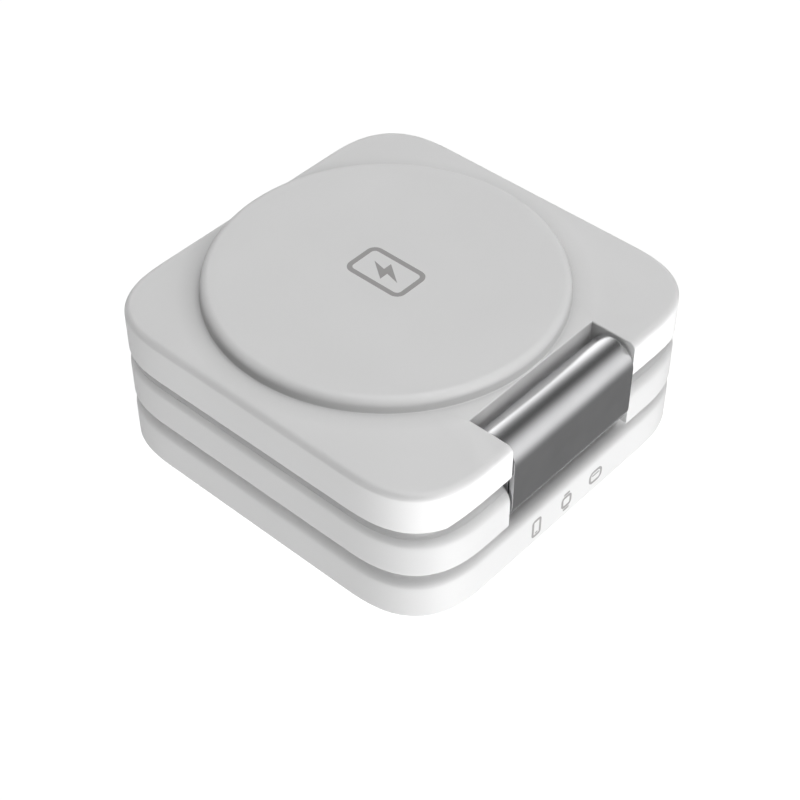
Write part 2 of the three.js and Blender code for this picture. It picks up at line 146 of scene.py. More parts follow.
def make_piece(name, points, faces, material):
    """Mesh object from points in millimetres, smooth except across sharp edges."""
    mesh = bpy.data.meshes.new(name)
    mesh.from_pydata([tuple(p) for p in np.asarray(points) * MM], [], [tuple(f) for f in faces])
    mesh.validate()
    piece = bpy.data.objects.new(name, mesh)
    bpy.context.scene.collection.objects.link(piece)
    if material:
        mesh.materials.append(material)
    shade(mesh)
    return piece


def shade(mesh):
    mesh.polygons.foreach_set("use_smooth", [True] * len(mesh.polygons))
    mesh.set_sharp_from_angle(angle=SHARP_ANGLE)


def cut(piece, *cutters):
    """Takes the cutters out of a piece and removes them."""
    for cutter in cutters:
        boolean = piece.modifiers.new("cut", "BOOLEAN")
        boolean.object = cutter
        boolean.operation = "DIFFERENCE"
        boolean.solver = "EXACT"
    graph = bpy.context.evaluated_depsgraph_get()
    mesh = bpy.data.meshes.new_from_object(piece.evaluated_get(graph))
    piece.modifiers.clear()
    piece.data = mesh
    mesh.name = piece.name
    shade(mesh)
    for cutter in cutters:
        bpy.data.objects.remove(cutter)
    return piece


def placed(points, axis, centre):
    """Turns local points, drawn flat and built up along their third axis, to stand along X, -Y or Z."""
    u, v, w = np.asarray(points, float).T
    turned = {"x": (w, u, v), "-y": (u, -w, v), "z": (u, v, w)}[axis]
    return np.stack(turned, axis=1) + np.array(centre, float)


def quarter(count):
    return np.linspace(0, math.pi / 2, count + 1)


def rounding_drop(depth, radius):
    """How far a rounded edge has dropped at a depth in from the edge."""
    outside = np.clip(radius - depth, 0, radius)
    return radius - np.sqrt(radius**2 - outside**2)


def circle(radius, steps):
    """Points and outward normals of a circle."""
    angles = np.arange(steps) * (2 * math.pi / steps)
    normals = np.stack([np.cos(angles), np.sin(angles)], axis=1)
    return normals * radius, normals


def stadium(radius, lower, upper, steps=40):
    """Points and outward normals of two half circles about (0, lower) and (0, upper), joined."""
    angles = np.linspace(0, math.pi, steps + 1)
    top = np.stack([np.cos(angles), np.sin(angles)], axis=1)
    normals = np.concatenate([top, -top])
    centres = np.concatenate([np.full(steps + 1, upper), np.full(steps + 1, lower)])
    return normals * radius + np.stack([np.zeros_like(centres), centres], axis=1), normals


def rounded(profile, radius, steps=3, closed=True):
    """Profile with an arc of about the radius at each corner; the ends of an open profile stay."""
    count = len(profile)
    points = []
    for i, corner in enumerate(profile):
        corner = np.array(corner, float)
        if not closed and i in (0, count - 1):
            points.append(corner)
            continue
        before = np.array(profile[i - 1], float) - corner
        after = np.array(profile[(i + 1) % count], float) - corner
        reach = min(radius, np.linalg.norm(before) * 0.45, np.linalg.norm(after) * 0.45)
        start = corner + before / np.linalg.norm(before) * reach
        end = corner + after / np.linalg.norm(after) * reach
        for t in np.linspace(0, 1, steps + 1):
            points.append((1 - t) ** 2 * start + 2 * t * (1 - t) * corner + t**2 * end)
    return points


def sweep(name, path, profile, material, axis="z", centre=(0, 0, 0), closed=False):
    """Profile of (offset, height) pairs carried round a closed path. A closed profile makes a tube wall,
    an open one, given from bottom to top, a solid with flat ends."""
    points, normals = path
    count = len(points)
    rings = [np.column_stack([points + normals * off, np.full(count, high)]) for off, high in profile]
    vertices = np.concatenate(rings)
    faces = []
    for k in range(len(rings) if closed else len(rings) - 1):
        low, high = k * count, ((k + 1) % len(rings)) * count
        for i in range(count):
            j = (i + 1) % count
            faces.append((low + i, low + j, high + j, high + i))
    if not closed:
        faces.append(tuple(reversed(range(count))))
        faces.append(tuple(range((len(rings) - 1) * count, len(rings) * count)))
    return make_piece(name, placed(vertices, axis, centre), faces, material)


def turned(name, profile, material, axis="z", centre=(0, 0, 0), steps=96, closed=False):
    """Solid of revolution from (radius, height) pairs."""
    return sweep(name, circle(0, steps), profile, material, axis, centre, closed)


def planned_solid(name, lines, keep, top, bottom, material, support=0.15):
    """Closed solid over a plan. lines are (points, closed) in the plan; keep says which triangles stay,
    and top and bottom give heights."""
    points = []
    edges = []
    for line, closed in lines:
        start, count = len(points), len(line)
        points += [Vector((float(x), float(y))) for x, y in line]
        edges += [(start + i, start + (i + 1) % count) for i in range(count if closed else count - 1)]
    flat, _, triangles, *_ = delaunay_2d_cdt(points, edges, [], 0, 1e-5, False)
    plan = np.array([tuple(p) for p in flat])
    triangles = np.array([tuple(t) for t in triangles])
    centres = plan[triangles].mean(axis=1)
    triangles = triangles[keep(centres[:, 0], centres[:, 1])]
    used, triangles = np.unique(triangles, return_inverse=True)
    triangles = triangles.reshape(-1, 3)
    x, y = plan[used].T
    upper, lower = top(x, y), bottom(x, y)
    count = len(x)
    directed = {(a, b) for t in triangles.tolist() for a, b in zip(t, t[1:] + t[:1])}
    rim = sorted(edge for edge in directed if edge[::-1] not in directed)
    rim_index = {v: i for i, v in enumerate(sorted({v for edge in rim for v in edge}))}
    rim_points = np.array(list(rim_index))
    step = np.minimum(support, (upper - lower)[rim_points] / 3)
    levels = [upper[rim_points] - step, lower[rim_points] + step]
    vertices = [np.column_stack([x, y, upper]), np.column_stack([x, y, lower])]
    vertices += [np.column_stack([x[rim_points], y[rim_points], z]) for z in levels]
    faces = [tuple(t) for t in triangles.tolist()]
    faces += [(a + count, c + count, b + count) for a, b, c in triangles.tolist()]
    first, second = 2 * count, 2 * count + len(rim_points)
    for a, b in rim:
        i, j = rim_index[a], rim_index[b]
        stack = [(a + count, b + count), (second + i, second + j), (first + i, first + j), (a, b)]
        for (a_low, b_low), (a_high, b_high) in zip(stack, stack[1:]):
            faces.append((a_low, b_low, b_high, a_high))
    return make_piece(name, np.concatenate(vertices), faces, material)


# Plan shapes ----------------------------------------------------------------------------------------

def plate_outline(corner_steps=36, side_step=1.5):
    """Points and outward normals of the soft-cornered plate, anticlockwise and evenly spaced."""
    angles = np.linspace(0, math.pi / 2, 2001)
    x = CORNER_REACH * np.abs(np.cos(angles)) ** (2 / CORNER_POWER)
    y = CORNER_REACH * np.abs(np.sin(angles)) ** (2 / CORNER_POWER)
    x[-1], y[0] = 0, 0
    length = np.concatenate([[0], np.cumsum(np.hypot(np.diff(x), np.diff(y)))])
    even = np.linspace(0, length[-1], corner_steps + 1)
    x, y = np.interp(even, length, x), np.interp(even, length, y)
    normals = np.stack([x, y], axis=1) ** (CORNER_POWER - 1)
    normals /= np.linalg.norm(normals, axis=1)[:, None]
    straight = HALF - CORNER_REACH
    points = np.stack([x, y], axis=1) + straight
    side_steps = math.ceil(2 * straight / side_step)
    side_x = np.linspace(straight, -straight, side_steps + 1)[1:-1]
    points = np.concatenate([points, np.stack([side_x, np.full_like(side_x, HALF)], axis=1)])
    normals = np.concatenate([normals, np.tile([0.0, 1.0], (len(side_x), 1))])
    turn = np.array([[0.0, 1.0], [-1.0, 0.0]])
    all_points, all_normals = [], []
    for _ in range(4):
        all_points.append(points)
        all_normals.append(normals)
        points, normals = points @ turn, normals @ turn
    return np.concatenate(all_points), np.concatenate(all_normals)


OUTLINE, OUTLINE_NORMALS = plate_outline()
FINE_OUTLINE, FINE_NORMALS = plate_outline(240, 0.1)
OUTLINE_TREE = kdtree.KDTree(len(FINE_OUTLINE))
for place_index, (px, py) in enumerate(FINE_OUTLINE):
    OUTLINE_TREE.insert((px, py, 0), place_index)
OUTLINE_TREE.balance()


def edge_depth(x, y):
    """Depth in from the plate's outline, and the Y part of the outline's normal there."""
    nearest = np.array([OUTLINE_TREE.find((a, b, 0))[1] for a, b in zip(x, y)])
    offset = FINE_OUTLINE[nearest] - np.stack([x, y], axis=1)
    depth = (offset * FINE_NORMALS[nearest]).sum(axis=1)
    return depth, FINE_NORMALS[nearest, 1]


def in_plate(x, y, inset=0.0):
    depth, _ = edge_depth(x, y)
    return depth > inset


def in_slot(x, y, side, extra=0.0):
    return (np.abs(x) < SLOT_HALF + extra) & (side * y > HALF - SLOT_DEPTH - extra)


def slot_distance(x, y, side):
    across = np.maximum(np.abs(x) - SLOT_HALF, 0)
    along = np.maximum(HALF - SLOT_DEPTH - side * y, 0)
    return np.hypot(across, along)


def inset_ring(insets):
    """Outline moved in by an amount, or by one amount for each of its points."""
    return OUTLINE - OUTLINE_NORMALS * np.reshape(insets, (-1, 1)), True


def slot_line(side, extra, overshoot=1.0):
    """Open line round a slot, from one side of the plate to the other, with round corners."""
    inner = HALF - SLOT_DEPTH
    turns = quarter(4) if extra > 0 else [0.0]
    right = [(SLOT_HALF + extra * math.cos(a), inner - extra * math.sin(a)) for a in turns]
    back = [(x, inner - extra) for x in np.linspace(SLOT_HALF, -SLOT_HALF, 31)[1:-1]]
    left = [(-x, y) for x, y in reversed(right)]
    ends = HALF + overshoot
    line = [(SLOT_HALF + extra, ends), *right, *back, *left, (-SLOT_HALF - extra, ends)]
    return [(x, side * y) for x, y in line], False


def slot_lines(side):
    return [slot_line(side, extra) for extra in SLOT_BREAK * (1 - np.cos(quarter(3)))]


def cross_line(y, step=1.5):
    """Line across the plate along X."""
    reach = HALF + 1
    return [(x, y) for x in np.linspace(-reach, reach, math.ceil(2 * reach / step))], False


def ring_line(radius, centre=(0, 0), steps=240):
    return circle(radius, steps)[0] + np.array(centre), True


def edge_radius(normal_y, side):
    """Upper edge radius of the base and middle plate, larger on the hinge side."""
    towards = np.clip(side * normal_y, 0, 1) ** 4
    return EDGE_RADIUS + (HINGE_EDGE_RADIUS - EDGE_RADIUS) * towards


def edge_rings(radius):
    """Rings that follow a rounded edge of one radius, or of one for each outline point."""
    return [inset_ring(radius * (1 - math.cos(a))) for a in quarter(10)]


def break_rings():
    return [inset_ring(np.full(len(OUTLINE), inset)) for inset in (0.04, EDGE_BREAK)]


def lower_face(bottom, relief_side, slot_sides):
    """Heights of a plate's underside, with its relief chamfer and small roundings."""
    def heights(x, y):
        depth, _ = edge_depth(x, y)
        z = bottom + rounding_drop(depth, EDGE_BREAK)
        for side in slot_sides:
            z = z + rounding_drop(slot_distance(x, y, side), SLOT_BREAK)
        if relief_side:
            z = z + np.maximum(relief_side * y - (HALF - RELIEF), 0)
        return z
    return heights


def rounded_face(z_top, side, scallop_pivot, slot_sides):
    """Heights of an upper face: its rounded edge, and the groove by the next plate's swinging edge."""
    def heights(x, y):
        depth, normal_y = edge_depth(x, y)
        z = z_top - rounding_drop(depth, edge_radius(normal_y, side))
        axis_y, axis_z = scallop_pivot
        reach = np.clip(SCALLOP_RADIUS**2 - (y - axis_y) ** 2, 0, None)
        z = np.minimum(z, np.where(reach > 0, axis_z - np.sqrt(reach), z))
        for slot_side in slot_sides:
            z = z - rounding_drop(slot_distance(x, y, slot_side), SLOT_BREAK)
        return z
    return heights


def scallop_lines(scallop_pivot, z_top):
    """Lines along the groove, from one edge to the other."""
    axis_y, axis_z = scallop_pivot
    half_angle = math.acos((axis_z - z_top) / SCALLOP_RADIUS)
    angles = np.linspace(-half_angle, half_angle, 13)
    return [cross_line(axis_y + SCALLOP_RADIUS * math.sin(a), 0.75) for a in angles]


def room(name, bottom, ceiling, slot_sides, holes=(), rings=()):
    """Cutter for the room inside a plate, clear of the walls and of the round holes (x, y, radius). The
    rings are radii at which the ceiling steps."""
    lines = [inset_ring(np.full(len(OUTLINE), WALL))]
    for side in slot_sides:
        inner = side * (HALF - SLOT_DEPTH - WALL)
        half = SLOT_HALF + WALL
        outer = side * (HALF + 1)
        lines.append(([(half, outer), (half, inner), (-half, inner), (-half, outer)], False))
    lines += [ring_line(radius, (x, y), 32) for x, y, radius in holes]
    lines += [ring_line(radius, steps=96) for radius in rings]

    def keep(x, y):
        inside = in_plate(x, y, WALL)
        for side in slot_sides:
            inside &= ~in_slot(x, y, side, WALL)
        for hole_x, hole_y, radius in holes:
            inside &= np.hypot(x - hole_x, y - hole_y) > radius * 0.995
        return inside

    return planned_solid(name, lines, keep, ceiling, lambda x, y: np.full_like(x, bottom), None)


def shaft_hole(pivot_place):
    y, z = pivot_place
    reach = span("front_upper_shaft")[1][0] + FIT
    return turned("hole", [(PIVOT_HOLE, -reach), (PIVOT_HOLE, reach)], None, "x", (0, y, z), 32)


def level(height):
    return lambda x, y: np.full_like(x, height)


# Materials ------------------------------------------------------------------------------------------

def new_material(name, **inputs):
    """Principled material with constant inputs set on the shader itself."""
    material = bpy.data.materials.new(name)
    material.use_nodes = True
    shader = material.node_tree.nodes["Principled BSDF"]
    for key, value in inputs.items():
        socket = shader.inputs[key.replace("_", " ")]
        socket.default_value = (*value, 1.0) if isinstance(value, tuple) else value
    return material, material.node_tree, shader


def noise(tree, scale, detail=2.0, stretch=None):
    """Noise in the piece's own coordinates; scale is in features a metre."""
    coordinates = tree.nodes.new("ShaderNodeTexCoord")
    texture = tree.nodes.new("ShaderNodeTexNoise")
    texture.inputs["Scale"].default_value = scale
    texture.inputs["Detail"].default_value = detail
    source = coordinates.outputs["Object"]
    if stretch:
        mapping = tree.nodes.new("ShaderNodeMapping")
        mapping.inputs["Scale"].default_value = stretch
        tree.links.new(source, mapping.inputs["Vector"])
        source = mapping.outputs["Vector"]
    tree.links.new(source, texture.inputs["Vector"])
    return texture.outputs["Fac"]


def remap(tree, value, low, high, from_low=0.3, from_high=0.7):
    node = tree.nodes.new("ShaderNodeMapRange")
    node.inputs["From Min"].default_value = from_low
    node.inputs["From Max"].default_value = from_high
    node.inputs["To Min"].default_value = low
    node.inputs["To Max"].default_value = high
    tree.links.new(value, node.inputs["Value"])
    return node.outputs["Result"]


def blend_colours(tree, factor, first, second):
    node = tree.nodes.new("ShaderNodeMix")
    node.data_type = "RGBA"
    node.inputs["A"].default_value = (*first, 1.0)
    node.inputs["B"].default_value = (*second, 1.0)
    tree.links.new(factor, node.inputs["Factor"])
    return node.outputs["Result"]


def add_bump(tree, shader, height, strength, distance):
    bump = tree.nodes.new("ShaderNodeBump")
    bump.inputs["Strength"].default_value = strength
    bump.inputs["Distance"].default_value = distance
    tree.links.new(height, bump.inputs["Height"])
    tree.links.new(bump.outputs["Normal"], shader.inputs["Normal"])


def worn_edges(tree, low=0.52, high=0.6):
    """0 on faces, rising to 1 on convex edges."""
    geometry = tree.nodes.new("ShaderNodeNewGeometry")
    return remap(tree, geometry.outputs["Pointiness"], 0.0, 1.0, low, high)


def corner_shade_mask(tree, reach=4.0, deepest=0.6):
    """Mask for painted shade: 0 on open faces, rising to 1 in the piece's own inner corners; reach is in
    millimetres.
    """
    node = tree.nodes.new("ShaderNodeAmbientOcclusion")
    node.only_local = True
    node.samples = 12
    node.inputs["Distance"].default_value = reach * MM
    return remap(tree, node.outputs["AO"], 1.0, 0.0, deepest, 1.0)


def moulded_plastic(name, colour, roughness, grain=0.12):
    """Spark-eroded moulded plastic: fine grain, slight flow variation, rubbed edges, shade painted into its
    inner corners.
    """
    material, tree, shader = new_material(name, IOR=1.46)
    darker = tuple(c * 0.975 for c in colour)
    flow = remap(tree, noise(tree, 60, 1.0), 0.0, 1.0)
    base = blend_colours(tree, flow, darker, colour)
    rubbed = tree.nodes.new("ShaderNodeMix")
    rubbed.data_type = "RGBA"
    tree.links.new(base, rubbed.inputs["A"])
    rubbed.inputs["B"].default_value = (*(min(1.0, c * 1.03) for c in colour), 1.0)
    tree.links.new(worn_edges(tree), rubbed.inputs["Factor"])
    # painted shade: the colour darkens to two thirds in the piece's own inner corners, where shade falls
    corner_shade = tree.nodes.new("ShaderNodeMix")
    corner_shade.data_type = "RGBA"
    tree.links.new(rubbed.outputs["Result"], corner_shade.inputs["A"])
    corner_shade.inputs["B"].default_value = (*(c * 0.66 for c in colour), 1.0)
    tree.links.new(corner_shade_mask(tree), corner_shade.inputs["Factor"])
    tree.links.new(corner_shade.outputs["Result"], shader.inputs["Base Color"])
    tree.links.new(remap(tree, noise(tree, 2200, 3.0), roughness - 0.05, roughness + 0.05),
                   shader.inputs["Roughness"])
    add_bump(tree, shader, noise(tree, 5200, 3.0), grain, 0.00002)
    return material


def brushed_metal(name, colour, roughness, stretch, depth=0.05):
    """Metal with fine lines along one axis and faint cloudy variation."""
    material, tree, shader = new_material(name, Metallic=1.0)
    lines = noise(tree, 900, 4.0, stretch)
    darker = tuple(c * 0.93 for c in colour)
    tone = blend_colours(tree, remap(tree, noise(tree, 140, 2.0), 0.0, 1.0), darker, colour)
    tree.links.new(tone, shader.inputs["Base Color"])
    tree.links.new(remap(tree, lines, roughness - 0.03, roughness + 0.03), shader.inputs["Roughness"])
    add_bump(tree, shader, lines, depth, 0.00001)
    return material


def speckled(name, first, second, roughness, scale, strength=0.2):
    """Grainy material: ferrite, rubber, solder mask, chip plastic."""
    material, tree, shader = new_material(name)
    grain = noise(tree, scale, 4.0)
    tree.links.new(blend_colours(tree, remap(tree, grain, 0.0, 1.0), first, second),
                   shader.inputs["Base Color"])
    tree.links.new(remap(tree, grain, roughness - 0.06, roughness + 0.06), shader.inputs["Roughness"])
    add_bump(tree, shader, grain, strength, 0.00003)
    return material


def wound_wire(name, colour, pitch, centre_y):
    """Enamelled wire wound in a flat spiral about a vertical axis, with painted shade darkening the colour
    between the turns.
    """
    material, tree, shader = new_material(name, Metallic=1.0)
    coordinates = tree.nodes.new("ShaderNodeTexCoord")
    mapping = tree.nodes.new("ShaderNodeMapping")
    mapping.inputs["Location"].default_value = (0, -centre_y * MM, 0)
    wave = tree.nodes.new("ShaderNodeTexWave")
    wave.wave_type = "RINGS"
    wave.rings_direction = "Z"
    wave.inputs["Scale"].default_value = 0.314 / (pitch * MM)
    tree.links.new(coordinates.outputs["Object"], mapping.inputs["Vector"])
    tree.links.new(mapping.outputs["Vector"], wave.inputs["Vector"])
    # painted shade: the colour falls to a third of itself between the turns of wire
    tree.links.new(blend_colours(tree, wave.outputs["Fac"], tuple(c * 0.35 for c in colour), colour),
                   shader.inputs["Base Color"])
    tree.links.new(remap(tree, noise(tree, 3000), 0.3, 0.45), shader.inputs["Roughness"])
    add_bump(tree, shader, wave.outputs["Fac"], 0.6, 0.0001)
    return material


SHELL = moulded_plastic("white_shell", (0.83, 0.83, 0.83), 0.36)
PUCK_PLASTIC = moulded_plastic("puck_face", (0.86, 0.86, 0.86), 0.22, 0.03)
MARK = moulded_plastic("grey_print", (0.36, 0.35, 0.35), 0.6, 0.05)
LINK_METAL = brushed_metal("hinge_metal", (0.72, 0.72, 0.73), 0.24, (0.02, 1.0, 1.0))
PLATED = brushed_metal("steel", (0.62, 0.63, 0.65), 0.35, (1.0, 0.15, 1.0))
SILICONE = speckled("silicone_pad", (0.50, 0.51, 0.52), (0.56, 0.57, 0.58), 0.75, 2600, 0.25)
RUBBER = speckled("rubber", (0.20, 0.205, 0.21), (0.26, 0.265, 0.27), 0.82, 3500, 0.3)
FERRITE = speckled("ferrite", (0.03, 0.03, 0.032), (0.06, 0.058, 0.056), 0.7, 1800, 0.3)
BOARD = speckled("circuit_board", (0.01, 0.11, 0.055), (0.02, 0.2, 0.1), 0.45, 420, 0.2)
CHIP = speckled("chip", (0.015, 0.015, 0.017), (0.04, 0.04, 0.042), 0.55, 5000, 0.15)
FLEX = speckled("flex_lead", (0.45, 0.2, 0.05), (0.62, 0.3, 0.09), 0.4, 700, 0.15)


# Plates ---------------------------------------------------------------------------------------------

def finish_piece(piece, body, slot, *nodes):
    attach(piece, body)
    if nodes:
        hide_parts(*nodes)
    return piece


def disc_radii():
    """Radii at which the disc's wall starts and ends, and at which its foot fillet meets the plate."""
    wall_top = DISC_FLAT + DISC_RIM * math.sin(DISC_SLOPE)
    wall_height = DISC_HEIGHT - (DISC_RIM + DISC_FOOT) * (1 - math.cos(DISC_SLOPE))
    wall_end = wall_top + wall_height / math.tan(DISC_SLOPE)
    return wall_top, wall_end, wall_end + DISC_FOOT * math.sin(DISC_SLOPE)


def disc_rise(x, y):
    """Height of the phone disc above its plate."""
    r = np.hypot(x, y - DISC_Y)
    wall_top, wall_end, foot = disc_radii()
    past = np.clip(r - DISC_FLAT, 0, wall_top - DISC_FLAT)
    rim = DISC_HEIGHT - DISC_RIM + np.sqrt(DISC_RIM**2 - past**2)
    wall_start = DISC_HEIGHT - DISC_RIM * (1 - math.cos(DISC_SLOPE))
    wall = wall_start - (r - wall_top) * math.tan(DISC_SLOPE)
    left = np.clip(foot - r, 0, foot - wall_end)
    fillet = DISC_FOOT - np.sqrt(DISC_FOOT**2 - left**2)
    return np.where(r <= wall_top, rim, np.where(r < wall_end, wall, fillet))


def disc_rings():
    foot = disc_radii()[2]
    radii = [DISC_FLAT + DISC_RIM * math.sin(a) for a in np.linspace(0, DISC_SLOPE, 13)]
    radii += [foot - DISC_FOOT * math.sin(a) for a in np.linspace(DISC_SLOPE, 0, 6)]
    return [ring_line(radius, (0, DISC_Y), 300) for radius in [DISC_FLAT * 0.6, DISC_FLAT - 0.8, *radii]]


def top_skin():
    def top(x, y):
        depth, _ = edge_depth(x, y)
        z = TOP_FACE + disc_rise(x, y) - PRINT - rounding_drop(depth, TOP_EDGE_RADIUS)
        return z - rounding_drop(slot_distance(x, y, FRONT["side"]), SLOT_BREAK)

    lines = edge_rings(np.full(len(OUTLINE), TOP_EDGE_RADIUS)) + break_rings() + disc_rings()
    lines += slot_lines(FRONT["side"]) + [cross_line(FRONT["side"] * (HALF - RELIEF))]
    keep = lambda x, y: in_plate(x, y) & ~in_slot(x, y, FRONT["side"])
    bottom = lower_face(TOP_BOTTOM, FRONT["side"], [FRONT["side"]])
    piece = planned_solid("top_shell", lines, keep, top, bottom, SHELL)
    inside = room("room", TOP_BOTTOM - 1, level(TOP_FACE - WALL), [FRONT["side"]])
    cut(piece, inside, shaft_hole(FRONT["upper"]))
    return finish_piece(piece, "top", "white_shell", "top_housing")


def tray_skin():
    side = FRONT["side"]
    radius = edge_radius(OUTLINE_NORMALS[:, 1], side)
    crease = radius - np.sqrt(radius**2 - (radius - (MIDDLE_TOP - TRAY_TOP)) ** 2)
    full = rounded_face(MIDDLE_TOP, side, FRONT["upper"], [1, -1])
    lines = [inset_ring(crease * t) for t in np.linspace(0, 1, 9) ** 1.6] + break_rings()
    lines += slot_lines(1) + slot_lines(-1) + [cross_line(REAR["side"] * (HALF - RELIEF))]
    keep = lambda x, y: in_plate(x, y) & ~in_slot(x, y, 1) & ~in_slot(x, y, -1)
    piece = planned_solid("middle_shell", lines, keep, lambda x, y: np.minimum(full(x, y), TRAY_TOP),
                          lower_face(MIDDLE_BOTTOM, REAR["side"], [1, -1]), SHELL)
    inside = room("room", MIDDLE_BOTTOM + WALL, level(MIDDLE_TOP + 1), [1, -1])
    opening = span("watch_puck_ring")[1][0] + 0.2
    puck_hole = turned("hole", [(opening, MIDDLE_BOTTOM - 1), (opening, MIDDLE_BOTTOM + WALL + 1)], None)
    cut(piece, inside, puck_hole, shaft_hole(FRONT["lower"]), shaft_hole(REAR["upper"]))
    return finish_piece(piece, "middle", "white_shell", "middle_tray")


def middle_cover_skin():
    side = FRONT["side"]
    bottom = TRAY_TOP + SEAM_LINE
    edge_drop = MIDDLE_TOP - bottom - 0.06
    radius = edge_radius(OUTLINE_NORMALS[:, 1], side)
    edge = radius - np.sqrt(radius**2 - (radius - edge_drop) ** 2)
    lines = [inset_ring(edge + (radius - edge) * t) for t in np.linspace(0, 1, 9)]
    lines += slot_lines(1) + slot_lines(-1) + scallop_lines(FRONT["upper"], MIDDLE_TOP)
    full = rounded_face(MIDDLE_TOP, side, FRONT["upper"], [1, -1])

    def keep(x, y):
        depth, normal_y = edge_depth(x, y)
        local = edge_radius(normal_y, side)
        limit = local - np.sqrt(local**2 - (local - edge_drop) ** 2)
        return (depth > limit * 0.999) & ~in_slot(x, y, 1) & ~in_slot(x, y, -1)

    piece = planned_solid("middle_cover", lines, keep, full, level(bottom), SHELL, 0.02)
    return finish_piece(piece, "middle", "white_shell", "middle_top_cover")


def base_skin():
    side = REAR["side"]
    radius = edge_radius(OUTLINE_NORMALS[:, 1], side)
    face = rounded_face(BASE_TOP, side, REAR["upper"], [1])

    def top(x, y):
        r = np.hypot(x, y)
        z = face(x, y) - rounding_drop(np.maximum(r - DISH_RADIUS, 0), DISH_LIP)
        return np.where(r < DISH_RADIUS - 0.01, DISH_FLOOR, z)

    lines = edge_rings(radius) + break_rings() + slot_lines(1) + scallop_lines(REAR["upper"], BASE_TOP)
    lines += [ring_line(DISH_RADIUS + DISH_LIP * (1 - math.cos(a)), steps=200) for a in quarter(4)]
    lines += [ring_line(DISH_RADIUS - 0.02, steps=200), ring_line(DISH_RADIUS * 0.5, steps=60)]
    keep = lambda x, y: in_plate(x, y) & ~in_slot(x, y, 1)
    piece = planned_solid("base_shell", lines, keep, top, lower_face(BASE_BOTTOM, 0, [1]), SHELL)

    dish_wall = DISH_RADIUS + DISH_THICKNESS

    def ceiling(x, y):
        under_dish = np.hypot(x, y) < dish_wall - 0.01
        return np.where(under_dish, DISH_FLOOR - DISH_THICKNESS, BASE_TOP - WALL)

    centres = [(span(f"foot_{i}")[0] + span(f"foot_{i}")[1]) / 2 for i in range(1, 5)]
    bosses = [(c[0], c[1], BOSS_RADIUS) for c in centres]
    inside = room("room", BASE_BOTTOM - 1, ceiling, [1], bosses, (dish_wall, dish_wall - 0.02))
    cut(piece, inside, shaft_hole(REAR["lower"]), port_cutter())
    return finish_piece(piece, "base", "white_shell", "base_housing")


# USB-C inlet ----------------------------------------------------------------------------------------

def port_path(grow=0.0):
    """Stadium lying along Y, with its outline grown by an amount, centred on the inlet."""
    low, high = span("usb_c_shell")
    radius = (high[2] - low[2]) / 2
    reach = (high[1] - low[1]) / 2 - radius
    points, normals = stadium(radius + grow, -reach, reach, 20)
    lying = np.array([[0.0, 1.0], [-1.0, 0.0]])
    return points @ lying, normals @ lying


def port_centre():
    low, high = span("usb_c_shell")
    return (0, 0, (low[2] + high[2]) / 2)


def port_cutter():
    mouth = HALF - PORT_CHAMFER + 0.1
    profile = [(FIT, HALF - PORT_DEPTH), (FIT, mouth), (FIT + PORT_CHAMFER, HALF + 0.1)]
    return sweep("port", port_path(), profile, None, "x", port_centre())


def usb_shell():
    low, high = span("usb_c_shell")
    section = rounded([(0, low[0]), (0, high[0]), (-PORT_SHEET, high[0]), (-PORT_SHEET, low[0])], 0.1, 3)
    piece = sweep("usb_inlet_shell", port_path(), section, PLATED, "x", port_centre(), closed=True)
    return finish_piece(piece, "base", "steel", "usb_c_shell")


# Round pieces ---------------------------------------------------------------------------------------

def earbud_pad():
    low, high = span("earbud_pad")
    radius = high[0]
    profile = rounded([(radius * 0.5, low[2]), (radius, low[2]), (radius, high[2]), (radius * 0.5, high[2])],
                      0.25, 4, closed=False)
    piece = turned("earbud_mat", profile, SILICONE, steps=128)
    return finish_piece(piece, "base", "silicone_pad", "earbud_pad")


def feet():
    for i in range(1, 5):
        low, high = span(f"foot_{i}")
        centre = (low + high) / 2
        radius = (high[0] - low[0]) / 2
        recess, hollow = high[2] - FOOT_RECESS["depth"], FOOT_RECESS["radius"]
        profile = rounded([(PIN_HOLE, 0), (radius - 0.1, 0), (radius, high[2]), (hollow, high[2]),
                           (hollow, recess), (PIN_HOLE, recess)], 0.25, 4, closed=False)
        piece = turned(f"rubber_foot_{i}", profile, RUBBER, centre=(centre[0], centre[1], 0), steps=64)
        finish_piece(piece, "base", "rubber", f"foot_{i}")


def watch_puck():
    low, high = span("watch_puck")
    face, top, flange = low[2], high[2], high[0]
    seat, inside, floor = top - PUCK_FLANGE, PUCK_RADIUS - PUCK_WALL, face + PUCK_DISH + PUCK_WALL
    dish = [(r, face + PUCK_DISH * (1 - (r / PUCK_RIM) ** 2)) for r in np.linspace(0.4, 12.2, 12)]
    rim = rounded([(PUCK_RIM, face), (PUCK_RADIUS - PUCK_BEVEL, face), (PUCK_RADIUS, face + 0.8),
                   (PUCK_RADIUS, seat), (flange, seat), (flange, top), (inside, top), (inside, floor),
                   (0.4, floor)], 0.3, 5, closed=False)
    piece = turned("watch_face", [*dish, *rim], PUCK_PLASTIC, steps=128)
    finish_piece(piece, "middle", "puck_face", "watch_puck")
    low, high = span("watch_puck_ring")
    section = rounded([(RING_BORE, low[2]), (high[0], low[2]), (high[0], high[2]), (RING_BORE, high[2])],
                      0.2, 4)
    ring = turned("watch_face_ring", section, LINK_METAL, steps=128, closed=True)
    finish_piece(ring, "middle", "hinge_metal", "watch_puck_ring")


# Flat covers ----------------------------------------------------------------------------------------

